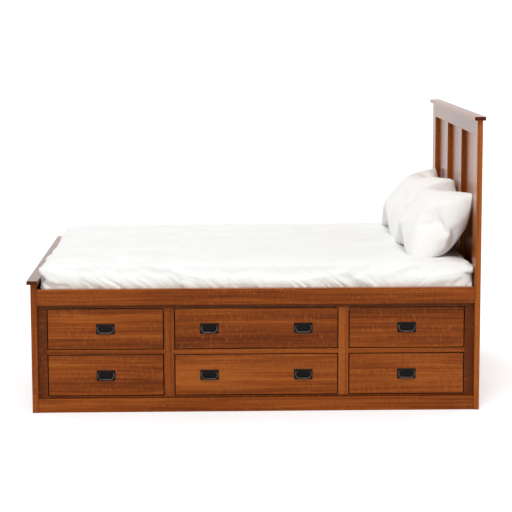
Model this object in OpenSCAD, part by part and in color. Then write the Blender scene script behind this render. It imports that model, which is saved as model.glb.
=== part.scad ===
// Platform bed with two rows of drawers under each long side, a tall panelled headboard and a low
// panelled footboard. +X points to the headboard, -Y to the sleeper's left and +Z up. The origin is
// on the floor under the middle of the whole bed. Everything is in millimetres.

/* [Overall] */
// Length between the inner faces of the footboard and the headboard
inner_l = 2070; // [1900:5:2500]
// Width across the outer faces of the posts
bed_w = 1660; // [1400:5:2000]
// Rise of the headboard posts above the side rails
head_rise = 787; // [500:1:950]
// Rise of the footboard posts above the side rails
foot_rise = 26; // [20:1:200]

/* [Headboard and footboard] */
// Thickness of the headboard
head_t = 26; // [20:1:45]
// Thickness of the footboard
foot_t = 28; // [20:1:45]
// Width of the posts
post_w = 112; // [70:1:150]
// Width of the stiles between the posts
end_stile_w = 103; // [60:1:130]
// Height of the top rails
end_top_rail_h = 71; // [50:1:100]
// Height of the bottom rails
end_bottom_rail_h = 110; // [60:1:150]
// Height of the headboard's middle rail
head_mid_rail_h = 110; // [60:1:160]
// Thickness of the flat panels
panel_t = 6; // [4:0.5:12]
// Width of the rabbets that hold the panels
panel_lap = 10; // [6:1:20]
// Thickness of the caps
cap_t = 18; // [12:1:30]
// Overhang of the caps past each post end
cap_end_over = 14; // [5:1:40]
// Overhang of the headboard cap towards the bed
head_cap_in = 15; // [4:1:30]
// Overhang of the headboard cap away from the bed
head_cap_out = 12; // [4:1:30]
// Overhang of the footboard cap towards the bed
foot_cap_in = 8; // [2:1:14]
// Overhang of the footboard cap away from the bed
foot_cap_out = 16; // [4:1:30]

/* [Side assemblies] */
// Height of the plinth rails
plinth_h = 64; // [40:1:68]
// Height of the side rails
side_rail_h = 76; // [50:1:110]
// Thickness of the side rails and plinth rails
side_rail_t = 20; // [15:1:30]
// Set-back of the side rails behind the posts
rail_setback = 5; // [0:1:15]
// Thickness of the face frames
frame_t = 20; // [16:1:28]
// Height of the face frame's bottom rails
frame_bottom_h = 73; // [70:1:110]
// Height of the face frame's rails between the drawer rows
frame_mid_h = 22; // [15:1:40]
// Height of the face frame that shows under the side rails
frame_top_show = 16; // [8:1:40]
// Width of the face frame's end stiles
frame_end_w = 44; // [30:1:60]
// Width of the face frame's stiles between drawers
frame_stile_w = 48; // [42:1:70]

/* [Drawers] */
// Height of each drawer opening
opening_h = 202; // [190:1:260]
// Width of the drawer openings next to the footboard and headboard
end_opening_w = 553; // [400:1:650]
// Gap around each drawer front
drawer_gap = 4; // [2:0.5:6]
// Thickness of the drawer fronts
front_t = 19; // [15:1:19]
// Height of the drawer boxes
box_h = 140; // [80:1:150]
// Length of the drawer boxes and their slides
box_l = 600; // [560:5:610]
// Thickness of the drawer boxes' walls
box_t = 12; // [9:1:18]
// Thickness of the drawer boxes' bottoms
box_bottom_t = 6; // [4:1:9]
// Travel of the drawers
drawer_travel = 450; // [300:5:460]

/* [Drawer slides] */
// Room for a slide between a drawer box and the case
slide_room = 13; // [13:0.5:20]
// Height of the slide channels
channel_h = 24; // [24:1:30]
// Thickness of the slides' sheet metal
slide_wall = 1.5; // [1.2:0.1:2]
// Radius of the slides' rollers
roller_r = 6.5; // [5:0.25:6.75]
// Running clearance of the rollers
roller_clear = 0.3; // [0.2:0.05:0.5]

/* [Pulls] */
// Width of the pull plates
plate_w = 88; // [86:1:110]
// Height of the pull plates
plate_h = 49; // [46:1:60]
// Thickness of the pull plates
plate_t = 3; // [2.5:0.25:4]
// Depth of the dish in the pull plates
dish_depth = 1.5; // [0.5:0.25:1.75]
// Distance between the two pulls of a wide drawer
pull_spacing = 446; // [250:1:560]
// Radius of the bail's rod
rod_r = 2.5; // [2:0.25:3]
// Running clearance of the rod in the ears
rod_clear = 0.05; // [0.02:0.01:0.1]
// Distance of the bail's pivot in front of the drawer front
pivot_out = 8.5; // [8:0.25:12]
// Height of the bail's pivot above the middle of the plate
pivot_up = 11; // [8:0.5:14]
// Drop of the bail from its pivot to its grip
bail_drop = 29; // [24:1:30]

/* [Case and platform] */
// Thickness of the case's boards
case_t = 18; // [12:1:20]
// Thickness of the slats
slat_t = 18; // [12:1:25]
// Width of the slats
slat_w = 90; // [60:1:120]
// Distance between the centres of neighbouring slats
slat_pitch = 150; // [130:1:200]
// Side of the square ledgers under the slats
ledger_s = 20; // [15:1:25]
// Length of the corner brackets' legs
bracket_l = 60; // [40:1:80]
// Thickness of the corner brackets
bracket_t = 3; // [2:0.5:4]

/* [Bedding] */
// Thickness of the mattress
mattress_t = 178; // [150:1:260]
// Thickness of the duvet on top of the mattress
duvet_t = 20; // [12:1:40]
// Room for the duvet beside the mattress
duvet_side = 19; // [12:1:30]
// Width of each pillow along the headboard
pillow_w = 695; // [500:5:760]
// Gap between the two pillows
pillow_gap = 24; // [4:1:60]
// Height of the pillows' upper edge above the duvet
pillow_rise = 312; // [250:1:380]

/* [Hidden] */
$fn = 48;
SIDES = ["left", "right"];
ROWS = ["lower", "upper"];
COLUMNS = ["foot", "middle", "head"];
// Glue line that keeps neighbouring members of one node apart
glue = 0.2;
// Clearance between a soft piece and what it rests on
soft_clear = 0.3;

// Lengthwise places
overall_l = foot_cap_out + foot_t + inner_l + head_t + head_cap_out;
foot_x = foot_cap_out + foot_t - overall_l / 2;
head_x = foot_x + inner_l;
middle_opening_w = inner_l - 2 * (frame_end_w + end_opening_w + frame_stile_w);
opening_w = [end_opening_w, middle_opening_w, end_opening_w];
opening_x = [
    foot_x + frame_end_w,
    foot_x + frame_end_w + end_opening_w + frame_stile_w,
    head_x - frame_end_w - end_opening_w
];

// Crosswise places on the left side, which lies at -Y
post_y = -bed_w / 2;
rail_y = post_y + rail_setback;
face_y = rail_y + side_rail_t;
frame_back_y = face_y + frame_t;
box_y = face_y + front_t + glue;

// Heights
row_z = [frame_bottom_h, frame_bottom_h + opening_h + frame_mid_h];
frame_top_z = row_z[1] + opening_h;
side_rail_z = frame_top_z + frame_top_show;
side_rail_top = side_rail_z + side_rail_h;
deck_z = side_rail_z - slat_t;
head_h = side_rail_top + head_rise;
foot_h = side_rail_top + foot_rise;
mid_rail_z = side_rail_z;

// Headboard and footboard panels
end_panel_w = (bed_w - 2 * post_w - 2 * end_stile_w) / 3;
end_panel_pitch = end_panel_w + end_stile_w;
panel_play = 0.3;
foot_openings = [[end_bottom_rail_h, foot_h - end_top_rail_h]];
head_openings = [
    [end_bottom_rail_h, mid_rail_z],
    [mid_rail_z + head_mid_rail_h, head_h - end_top_rail_h]
];

// Drawer boxes and slides
box_lift = 12;
box_bottom_rise = 10;
channel_lift = 2;
channel_depth = slide_room - 2.5;
slide_web = 2;
roller_end = 12;
roller_top = slide_wall + roller_clear + 2 * roller_r;
hook_h = 5;

// Pulls
ear_w = 7;
ear_in = 27;
ear_r = 4.5;
ear_root = 0.5;
pin_end = 28;
knuckle_r = rod_r + 0.1;
bail_side_gap = 0.3;
bail_half_w = ear_in + ear_w + bail_side_gap + knuckle_r;
bail_slant_in = 10;
bail_slant_h = 14;
dish_w = 76;
dish_h = 37;

// Bedding
well_x0 = foot_x + foot_cap_in + 1;
well_x1 = head_x - bracket_t - 1;
well_y = -frame_back_y - bracket_t - 1;
mattress_z = side_rail_z + soft_clear;
mattress_top = mattress_z + mattress_t;
duvet_top = mattress_top + duvet_t;
mattress_end_room = 12;
pillow_toe_r = 55;
pillow_body_r = 80;
pillow_tip_r = 42;
pillow_toe_x = 238;
pillow_body_x = 130;
pillow_body_z = 143;

function drawer_name(s, r, c) = str(SIDES[s], "_", ROWS[r], "_", COLUMNS[c], "_drawer");
function hardware_name(s, r, c) = str(SIDES[s], "_", ROWS[r], "_", COLUMNS[c], "_hardware");
function pulls(c) = c == 1 ? [0, 1] : [0];
function bail_name(s, r, c, p) =
    str(SIDES[s], "_", ROWS[r], "_", COLUMNS[c], c == 1 ? ["_foot", "_head"][p] : "", "_bail");
// Middle of a pull, along the bed
function pull_x(c, p) =
    opening_x[c] + opening_w[c] / 2 + (c == 1 ? (p - 0.5) * pull_spacing : 0);
function pull_z(r) = row_z[r] + opening_h / 2;

// Box between two opposite corners
module span(a, b) {
    low = [min(a.x, b.x), min(a.y, b.y), min(a.z, b.z)];
    high = [max(a.x, b.x), max(a.y, b.y), max(a.z, b.z)];
    translate(low) cube(high - low);
}

// Puts what is drawn for the left side on side s
module on_side(s) {
    if (s == 0) children();
    else mirror([0, 1, 0]) children();
}

// Puts what is drawn for the left side on both sides
module both_sides() {
    for (s = [0, 1]) on_side(s) children();
}

// Headboard and footboard

// Three panels, or the rabbets that they lie in, for each opening of an end
module end_panels(x, t, openings, play, overcut) {
    for (z = openings, i = [0:2]) {
        y = post_y + post_w + i * end_panel_pitch;
        lap = panel_lap - play;
        span([x + t - panel_t, y - lap, z[0] - lap],
             [x + t + overcut, y + end_panel_w + lap, z[1] + lap]);
    }
}

module end_posts(x, t, h, openings) {
    difference() {
        both_sides() span([x, post_y, 0], [x + t, post_y + post_w, h]);
        end_panels(x, t, openings, 0, 1);
    }
}

// Rails from post to post, and stiles between them
module end_frame(x, t, h, openings) {
    rail_edges = concat([0], [for (z = openings) each z], [h]);
    rail_y0 = post_y + post_w + glue;
    difference() {
        union() {
            for (i = [0:2:len(rail_edges) - 1])
                span([x, rail_y0, rail_edges[i]], [x + t, -rail_y0, rail_edges[i + 1]]);
            for (z = openings, i = [1, 2]) {
                y = post_y + post_w + i * end_panel_pitch;
                span([x, y - end_stile_w, z[0] + glue], [x + t, y, z[1] - glue]);
            }
        }
        end_panels(x, t, openings, 0, 1);
    }
}

module end_cap(x0, x1, z) {
    y = post_y - cap_end_over;
    span([x0, y, z], [x1, -y, z + cap_t]);
}

module headboard_posts() color("sienna") end_posts(head_x, head_t, head_h, head_openings);
module headboard_frame() color("sienna") end_frame(head_x, head_t, head_h, head_openings);
module headboard_panels() color("peru") end_panels(head_x, head_t, head_openings, panel_play, 0);
module headboard_cap()
    color("saddlebrown") end_cap(head_x - head_cap_in, head_x + head_t + head_cap_out, head_h);

module footboard_posts()
    color("sienna") end_posts(foot_x - foot_t, foot_t, foot_h, foot_openings);
module footboard_frame()
    color("sienna") end_frame(foot_x - foot_t, foot_t, foot_h, foot_openings);
module footboard_panels()
    color("peru") end_panels(foot_x - foot_t, foot_t, foot_openings, panel_play, 0);
module footboard_cap()
    color("saddlebrown") end_cap(foot_x - foot_t - foot_cap_out, foot_x + foot_cap_in, foot_h);

// Side assemblies

module side_rails() color("saddlebrown")
    both_sides() span([foot_x, rail_y, side_rail_z], [head_x, face_y, side_rail_top]);

module plinth_rails() color("saddlebrown")
    both_sides() span([foot_x, rail_y, 0], [head_x, face_y, plinth_h]);

// Full-length top and bottom rails, stiles between them, and short rails between the rows
module face_frames() color("sienna") both_sides() {
    span([foot_x, face_y, 0], [head_x, frame_back_y, frame_bottom_h]);
    span([foot_x, face_y, frame_top_z], [head_x, frame_back_y, side_rail_top]);
    stile_x0 = [foot_x, for (c = [0:2]) opening_x[c] + opening_w[c]];
    stile_x1 = [for (c = [0:2]) opening_x[c], head_x];
    for (i = [0:3])
        span([stile_x0[i], face_y, frame_bottom_h + glue],
             [stile_x1[i], frame_back_y, frame_top_z - glue]);
    for (c = [0:2])
        span([opening_x[c] + glue, face_y, row_z[1] - frame_mid_h],
             [opening_x[c] + opening_w[c] - glue, frame_back_y, row_z[1]]);
}

// Two angle brackets at each end of the side assemblies, above the slats
module rail_brackets() color("gray") both_sides() {
    z0 = side_rail_z + 5;
    z1 = side_rail_top - 5;
    for (end = [[foot_x, 1], [head_x, -1]]) {
        x = end[0];
        out = end[1];
        union() {
            span([x, frame_back_y, z0], [x + out * bracket_l, frame_back_y + bracket_t, z1]);
            span([x, frame_back_y, z0], [x + out * bracket_t, frame_back_y + bracket_l, z1]);
        }
    }
}

// Case and platform

// One board flush with each side of every drawer bay
module case_sides() color("burlywood") both_sides()
    for (c = [0:2], x = [opening_x[c] - case_t, opening_x[c] + opening_w[c]])
        span([x, frame_back_y, frame_bottom_h], [x + case_t, -case_t / 2, deck_z]);

// Spine along the middle of the bed, with the case's bottom boards
module case_spine() color("burlywood") {
    span([foot_x, -case_t / 2, 0], [head_x, case_t / 2, deck_z]);
    both_sides()
        span([foot_x, frame_back_y, frame_bottom_h - case_t],
             [head_x, -case_t / 2 - glue, frame_bottom_h]);
}

// Slats across the bed, on ledgers between the case sides
module slat_deck() color("burlywood") {
    count = floor((inner_l - slat_w) / slat_pitch) + 1;
    first_x = (foot_x + head_x - (count - 1) * slat_pitch) / 2;
    for (i = [0:count - 1]) {
        x = first_x + i * slat_pitch;
        span([x - slat_w / 2, frame_back_y + 1, deck_z], [x + slat_w / 2, -frame_back_y - 1, side_rail_z]);
    }
    both_sides() for (c = [0:2])
        span([opening_x[c], frame_back_y, deck_z - ledger_s],
             [opening_x[c] + opening_w[c], frame_back_y + ledger_s, deck_z - glue]);
}

// Draws a slide's left member at both sides of bay c, with x counted from the case side
module slide_pair(c) {
    translate([opening_x[c], 0, 0]) children();
    translate([opening_x[c] + opening_w[c], 0, 0]) mirror([1, 0, 0]) children();
}

module roller(x0, x1, y, z) translate([x0, y, z]) rotate([0, 90, 0]) cylinder(h = x1 - x0, r = roller_r);

// Channel screwed to the case side, open towards the drawer, with a roller at its front end
module channel(z) {
    union() {
        span([0, frame_back_y, z], [slide_wall, frame_back_y + box_l, z + channel_h]);
        for (edge = [z, z + channel_h - slide_wall])
            span([0, frame_back_y, edge], [channel_depth, frame_back_y + box_l, edge + slide_wall]);
        roller(slide_wall, channel_depth - 1, frame_back_y + roller_end,
               z + slide_wall + roller_clear + roller_r);
    }
}

module drawer_channels() color("silver") both_sides()
    for (r = [0, 1], c = [0:2])
        slide_pair(c) channel(row_z[r] + box_lift + channel_lift);

// Drawers

// Runner screwed to the drawer box. Its flange lies on the channel's roller, and its own roller
// runs on the channel's lower flange.
module runner(z) {
    web_x = slide_room - slide_web;
    flange_z = z + roller_top + roller_clear;
    end_y = box_y + box_l;
    union() {
        span([web_x, box_y, z + 3], [slide_room, end_y, flange_z + hook_h]);
        span([slide_wall + 1, box_y, flange_z], [web_x, end_y, flange_z + slide_wall]);
        roller(slide_wall + 1, web_x, end_y - roller_end, z + slide_wall + roller_clear + roller_r);
    }
}

// Front board and five-board box of the drawer in row r and column c
module drawer(s, r, c) color("sienna") on_side(s) {
    x0 = opening_x[c];
    x1 = x0 + opening_w[c];
    box_x0 = x0 + slide_room;
    box_x1 = x1 - slide_room;
    in_x0 = box_x0 + box_t + glue;
    in_x1 = box_x1 - box_t - glue;
    z = row_z[r];
    box_z = z + box_lift;
    end_y = box_y + box_l;
    span([x0 + drawer_gap, face_y, z + drawer_gap],
         [x1 - drawer_gap, face_y + front_t, z + opening_h - drawer_gap]);
    for (x = [box_x0, box_x1 - box_t])
        span([x, box_y, box_z], [x + box_t, end_y, box_z + box_h]);
    for (y = [box_y, end_y - box_t])
        span([in_x0, y, box_z], [in_x1, y + box_t, box_z + box_h]);
    bottom_z = box_z + box_bottom_rise;
    span([in_x0, box_y + box_t + glue, bottom_z],
         [in_x1, end_y - box_t - glue, bottom_z + box_bottom_t]);
}

// Pulls, drawn around the middle of the plate's back with -Y towards the user

// Two ears that hold the ends of the bail
module ear() difference() {
    union() {
        rotate([0, 90, 0]) cylinder(h = ear_w, r = ear_r);
        span([0, 0, -ear_r], [ear_w, pivot_out - ear_root, ear_r]);
    }
    translate([-1, 0, 0]) rotate([0, 90, 0]) cylinder(h = ear_w + 2, r = rod_r + rod_clear);
}

// Rectangular plate with an oval dish
module plate() difference() {
    span([-plate_w / 2, -plate_t, -plate_h / 2], [plate_w / 2, 0, plate_h / 2]);
    translate([0, -plate_t + dish_depth, 0]) rotate([90, 0, 0]) linear_extrude(dish_depth + 1) union() {
        square([dish_w - dish_h, dish_h], center = true);
        for (side = [-1, 1]) translate([side * (dish_w - dish_h) / 2, 0]) circle(d = dish_h);
    }
}

module pull_plate() union() {
    plate();
    for (x = [ear_in, -ear_in - ear_w]) translate([x, -pivot_out, pivot_up]) ear();
}

module hardware(s, r, c) on_side(s) {
    color("dimgray") for (p = pulls(c)) translate([pull_x(c, p), face_y, pull_z(r)]) pull_plate();
    color("silver") slide_pair(c) runner(row_z[r] + box_lift + channel_lift);
}

// Round rod through the points p of a flat path, with a knuckle at each corner
module bent_rod(p) union() {
    for (i = [0:len(p) - 2]) {
        run = p[i + 1] - p[i];
        translate(p[i]) rotate([0, 0, atan2(run.y, run.x)])
            rotate([0, 90, 0]) cylinder(h = norm(run), r = rod_r);
    }
    for (i = [1:len(p) - 2]) translate(p[i]) cylinder(h = 2 * knuckle_r, r = knuckle_r, center = true);
}

module bail(s, r, c, p) color("dimgray") on_side(s) {
    grip_half = bail_half_w - bail_slant_in;
    half = [[pin_end, 0, 0], [bail_half_w, 0, 0], [bail_half_w, bail_slant_h - bail_drop, 0],
            [grip_half, -bail_drop, 0]];
    path = concat(half, [for (i = [3:-1:0]) [-half[i].x, half[i].y, 0]]);
    translate([pull_x(c, p), face_y - pivot_out, pull_z(r) + pivot_up])
        rotate([90, 0, 0]) bent_rod(path);
}

// Bedding

module mattress() color("white") {
    y = well_y - duvet_side;
    span([well_x0 + mattress_end_room, -y, mattress_z], [well_x1 - mattress_end_room, y, mattress_top]);
}

// Cover over the top and the four sides of the mattress
module duvet() color("white") difference() {
    span([well_x0, -well_y, mattress_z], [well_x1, well_y, duvet_top]);
    end_room = mattress_end_room - soft_clear;
    y = well_y - duvet_side + soft_clear;
    span([well_x0 + end_room, -y, mattress_z - 1], [well_x1 - end_room, y, mattress_top + soft_clear]);
}

// Pillow that stands on the duvet and leans on the headboard
module pillow(s) color("white") on_side(s) {
    toe = [head_x - pillow_toe_x, duvet_top + soft_clear + pillow_toe_r];
    body = [head_x - pillow_body_x, duvet_top + pillow_body_z];
    tip = [head_x - soft_clear - pillow_tip_r, duvet_top + pillow_rise - pillow_tip_r];
    translate([0, -pillow_gap / 2, 0]) rotate([90, 0, 0]) linear_extrude(pillow_w) hull() {
        translate(toe) circle(pillow_toe_r);
        translate(body) circle(pillow_body_r);
        translate(tip) circle(pillow_tip_r);
    }
}

module left_pillow() pillow(0);
module right_pillow() pillow(1);

headboard_posts();
headboard_frame();
headboard_panels();
headboard_cap();
footboard_posts();
footboard_frame();
footboard_panels();
footboard_cap();
side_rails();
plinth_rails();
face_frames();
case_sides();
case_spine();
drawer_channels();
slat_deck();
rail_brackets();
mattress();
duvet();
left_pillow();
right_pillow();
for (s = [0, 1], r = [0, 1], c = [0:2]) {
    drawer(s, r, c);
    hardware(s, r, c);
    for (p = pulls(c))
        bail(s, r, c, p);
}
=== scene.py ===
"""Looks of the platform bed: stained oak, black iron pulls, bedding, light and camera."""

import math
import random

import bmesh
import bpy
import numpy as np
from mathutils import Matrix, Vector, noise


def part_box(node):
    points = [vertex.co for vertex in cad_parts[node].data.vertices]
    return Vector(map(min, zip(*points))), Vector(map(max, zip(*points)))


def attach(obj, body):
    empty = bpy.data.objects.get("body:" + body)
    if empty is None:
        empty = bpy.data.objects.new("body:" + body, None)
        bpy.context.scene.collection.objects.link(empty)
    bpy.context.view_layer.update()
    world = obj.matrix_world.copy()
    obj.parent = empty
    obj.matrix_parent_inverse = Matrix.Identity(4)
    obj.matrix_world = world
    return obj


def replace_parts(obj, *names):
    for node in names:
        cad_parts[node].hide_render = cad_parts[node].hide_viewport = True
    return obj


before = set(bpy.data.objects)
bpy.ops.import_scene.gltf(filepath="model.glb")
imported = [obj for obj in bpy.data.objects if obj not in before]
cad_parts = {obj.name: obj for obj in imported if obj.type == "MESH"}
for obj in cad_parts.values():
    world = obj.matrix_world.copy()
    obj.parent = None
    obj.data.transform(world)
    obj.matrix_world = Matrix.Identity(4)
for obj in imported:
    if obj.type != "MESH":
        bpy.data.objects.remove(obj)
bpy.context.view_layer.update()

MM = 0.001
UP = Vector((0, 0, 1))
scene = bpy.context.scene

# How far the edges are eased: boards, drawer fronts, drawer boxes and iron plates
EDGE_EASE = 1.3 * MM
FRONT_EASE = 1.7 * MM
BOX_EASE = 0.6 * MM
PLATE_EASE = 0.45 * MM
SIDES = ("left", "right")
ROWS = ("lower", "upper")
COLUMNS = ("foot", "middle", "head")


# ---------------------------------------------------------------- node graphs


class Graph:
    """Short words for building a material's node tree."""

    def __init__(self, name):
        self.material = bpy.data.materials.new(name)
        self.material.use_nodes = True
        self.tree = self.material.node_tree
        self.tree.nodes.clear()

    def add(self, kind, inputs=(), **settings):
        made = self.tree.nodes.new("ShaderNode" + kind)
        for key, value in settings.items():
            setattr(made, key, value)
        for key, value in dict(inputs).items():
            if isinstance(value, bpy.types.NodeSocket):
                self.tree.links.new(value, made.inputs[key])
            else:
                made.inputs[key].default_value = value
        return made

    def attribute(self, name):
        return self.add("Attribute", attribute_name=name)

    def maths(self, operation, a, b=0.0, c=0.0):
        return self.add("Math", {0: a, 1: b, 2: c}, operation=operation).outputs[0]

    def scaled(self, vector, scale):
        return self.add("VectorMath", {0: vector, 1: scale}, operation="MULTIPLY").outputs[0]

    def shifted(self, vector, shift):
        return self.add("VectorMath", {0: vector, 1: shift}, operation="ADD").outputs[0]

    def noise(self, vector, scale=1.0, detail=2.0, roughness=0.5, distortion=0.0):
        return self.add(
            "TexNoise",
            {"Vector": vector, "Scale": scale, "Detail": detail,
             "Roughness": roughness, "Distortion": distortion},
        ).outputs[0]

    def stretch(self, value, low, high, to_low=0.0, to_high=1.0):
        """value taken from low..high to to_low..to_high, and held at the ends."""
        return self.add(
            "MapRange",
            {"Value": value, "From Min": low, "From Max": high, "To Min": to_low, "To Max": to_high},
        ).outputs[0]

    def mix(self, factor, a, b, blend="MIX"):
        made = self.add("Mix", {0: factor, 6: a, 7: b}, data_type="RGBA", blend_type=blend)
        return made.outputs[2]

    def ramp(self, value, stops):
        made = self.add("ValToRGB", {0: value})
        ramp = made.color_ramp
        while len(ramp.elements) < len(stops):
            ramp.elements.new(0.5)
        for element, (place, colour) in zip(ramp.elements, stops):
            element.position = place
            element.color = colour
        return made.outputs[0]

    def bump(self, height, distance, strength=1.0, under=None):
        inputs = {"Height": height, "Distance": distance, "Strength": strength}
        if under is not None:
            inputs["Normal"] = under
        return self.add("Bump", inputs).outputs[0]

    def surface(self, inputs):
        shader = self.add("BsdfPrincipled", inputs)
        self.add("OutputMaterial", {"Surface": shader.outputs[0]})
        return self.material


def srgb(red, green, blue):
    """Linear colour of an 8-bit display colour."""
    def linear(value):
        value /= 255
        return value / 12.92 if value <= 0.04045 else ((value + 0.055) / 1.055) ** 2.4
    return (linear(red), linear(green), linear(blue), 1.0)


# ---------------------------------------------------------------- materials


def wood(name, dark, middle, light, fleck, roughness, gloss_level=0.3, coat=0.0,
         fleck_strength=0.5, strip_width=0.085, pore_depth=0.12 * MM):
    """Quarter-sawn board. Its "grain" attribute runs along, across and through the board.

    "board" tells the boards apart, "wear_and_painted_shade" is above 0 on rubbed edges and below 0
    for painted shade like that in the gaps between parts, and "cut" shifts the tone, with soaked stain
    where it is below -1.4. The tones given for some parts put painted shade and painted light into "cut".
    """
    g = Graph(name)
    grain = g.attribute("grain").outputs["Vector"]
    board = g.attribute("board").outputs["Fac"]
    wear_and_painted_shade = g.attribute("wear_and_painted_shade").outputs["Fac"]
    cut = g.attribute("cut").outputs["Fac"]
    parts = g.add("SeparateXYZ", {0: grain})

    # Glued-up strips, each cut from another part of the log
    strip = g.maths("FLOOR", g.maths("MULTIPLY_ADD", parts.outputs[1], 1 / strip_width, board))
    strip_tone = g.add("TexWhiteNoise", {"W": strip}, noise_dimensions="1D").outputs[0]
    offset = g.add("CombineXYZ", {0: g.maths("MULTIPLY", strip_tone, 9.0), 2: board}).outputs[0]
    wave = g.noise(g.scaled(grain, (1.3, 4.0, 4.0)), detail=2.0)
    sway = g.add("CombineXYZ", {1: g.maths("MULTIPLY_ADD", wave, 0.03, -0.015)}).outputs[0]
    place = g.shifted(g.shifted(grain, offset), sway)

    broad = g.noise(g.scaled(place, (0.8, 22.0, 22.0)), detail=3.0)
    streaks = g.noise(g.scaled(place, (2.2, 110.0, 110.0)), detail=4.0, roughness=0.6)
    fine = g.noise(g.scaled(place, (7.0, 520.0, 520.0)), detail=3.0, roughness=0.6)
    cloud = g.noise(g.scaled(grain, (1.6, 5.0, 5.0)), detail=3.0)

    # Ray flecks: short wavy flakes across the grain, in patches
    bent = g.noise(g.scaled(place, (9.0, 9.0, 9.0)), detail=2.0)
    bend = g.add("CombineXYZ", {0: g.maths("MULTIPLY_ADD", bent, 0.05, -0.025)}).outputs[0]
    flake = g.noise(g.scaled(g.shifted(place, bend), (110.0, 34.0, 34.0)), detail=3.0, roughness=0.6)
    patch = g.stretch(g.noise(g.scaled(place, (3.0, 14.0, 14.0)), detail=1.0), 0.36, 0.6)
    flecks = g.maths("MULTIPLY", g.stretch(flake, 0.52, 0.64), patch)
    shadow = g.maths("MULTIPLY", g.stretch(flake, 0.46, 0.38), patch)

    pores = g.noise(g.scaled(place, (34.0, 1150.0, 1150.0)), detail=1.0)
    pore = g.stretch(pores, 0.60, 0.72)

    tone = g.maths("MULTIPLY_ADD", broad, 0.34, g.maths("MULTIPLY", streaks, 0.36))
    tone = g.maths("MULTIPLY_ADD", fine, 0.16, tone)
    tone = g.maths("MULTIPLY_ADD", cloud, 0.14, tone)
    tone = g.maths("ADD", tone, g.maths("MULTIPLY_ADD", strip_tone, 0.07, -0.035))
    shade = g.maths("FRACT", g.maths("MULTIPLY", board, 7.31))
    tone = g.maths("ADD", tone, g.maths("MULTIPLY_ADD", shade, 0.06, -0.03))
    tone = g.maths("ADD", tone, g.stretch(cut, -1.5, 1.5, -0.165, 0.165))
    # Dark colour for soaked end-grain stain, and for the painted shade on eased edges below
    soaked_stain_and_painted_shade = [part * 0.35 for part in dark[:3]] + [1.0]
    colour = g.ramp(tone, [(0.375, dark), (0.49, middle), (0.605, light)])
    colour = g.mix(g.stretch(cut, -1.6, -1.4, 0.7, 0.0), colour, soaked_stain_and_painted_shade)
    colour = g.mix(g.maths("MULTIPLY", flecks, fleck_strength), colour, fleck)
    colour = g.mix(g.maths("MULTIPLY", shadow, fleck_strength * 0.7), colour, dark)
    colour = g.mix(g.maths("MULTIPLY", pore, 0.42), colour, dark)
    edge = g.maths("MULTIPLY", g.maths("MAXIMUM", wear_and_painted_shade, 0.0), g.stretch(cloud, 0.35, 0.65, 0.1, 0.5))
    colour = g.mix(edge, colour, light)
    # Painted shade: below 0 the eased edges are darkened like the shade in the gaps between parts
    painted_gap_shade = g.maths("MULTIPLY", g.maths("MINIMUM", wear_and_painted_shade, 0.0), -0.85)
    colour = g.mix(painted_gap_shade, colour, soaked_stain_and_painted_shade)

    gloss = g.maths("MULTIPLY_ADD", streaks, 0.10, roughness - 0.05)
    gloss = g.maths("MULTIPLY_ADD", flecks, -0.05, gloss)
    height = g.maths("MULTIPLY_ADD", pore, -1.0, g.maths("MULTIPLY", streaks, 0.5))
    return g.surface({
        "Base Color": colour,
        "Roughness": gloss,
        "Specular IOR Level": gloss_level,
        "Specular Tint": (1.0, 0.52, 0.22, 1.0),
        "Coat Weight": coat,
        "Coat Roughness": 0.2,
        "Coat IOR": 1.27,
        "Normal": g.bump(height, pore_depth, 0.6),
    })


def iron(name, dark, light, rubbed):
    """Cast iron, blackened, with rubbed edges and a darker dish where "dish" is 1."""
    g = Graph(name)
    place = g.add("TexCoord").outputs["Object"]
    cast = g.noise(place, 420.0, 3.0, 0.6)
    bloom = g.noise(place, 60.0, 3.0, 0.6)
    wear_and_painted_shade = g.attribute("wear_and_painted_shade").outputs["Fac"]
    dish = g.attribute("dish").outputs["Fac"]
    colour = g.ramp(bloom, [(0.35, dark), (0.7, light)])
    edge = g.maths("MULTIPLY", wear_and_painted_shade, g.stretch(cast, 0.35, 0.65, 0.4, 1.0))
    colour = g.mix(edge, colour, rubbed)
    colour = g.mix(g.maths("MULTIPLY", dish, 0.7), colour, srgb(12, 11, 11))
    return g.surface({
        "Base Color": colour,
        "Metallic": 0.35,
        "Specular IOR Level": 0.22,
        "Roughness": g.stretch(bloom, 0.3, 0.7, 0.36, 0.55),
        "Normal": g.bump(cast, 0.25 * MM, 0.7),
    })


def dark_steel():
    """Black-zinc sheet steel with a faint drawn grain and spangle. Its darkness is partly painted shade,
    keeping the slides seen through the drawer gaps as dark as the gaps.
    """
    g = Graph("slide_steel")
    place = g.add("TexCoord").outputs["Object"]
    drawn = g.noise(g.scaled(place, (300.0, 6.0, 900.0)), detail=3.0)
    spangle = g.noise(place, 70.0, 2.0)
    colour = g.ramp(spangle, [(0.3, srgb(70, 70, 72)), (0.7, srgb(104, 104, 106))])
    return g.surface({
        "Base Color": colour,
        "Metallic": 1.0,
        "Roughness": g.stretch(drawn, 0.3, 0.7, 0.4, 0.55),
        "Normal": g.bump(drawn, 0.05 * MM, 0.5),
    })


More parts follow.
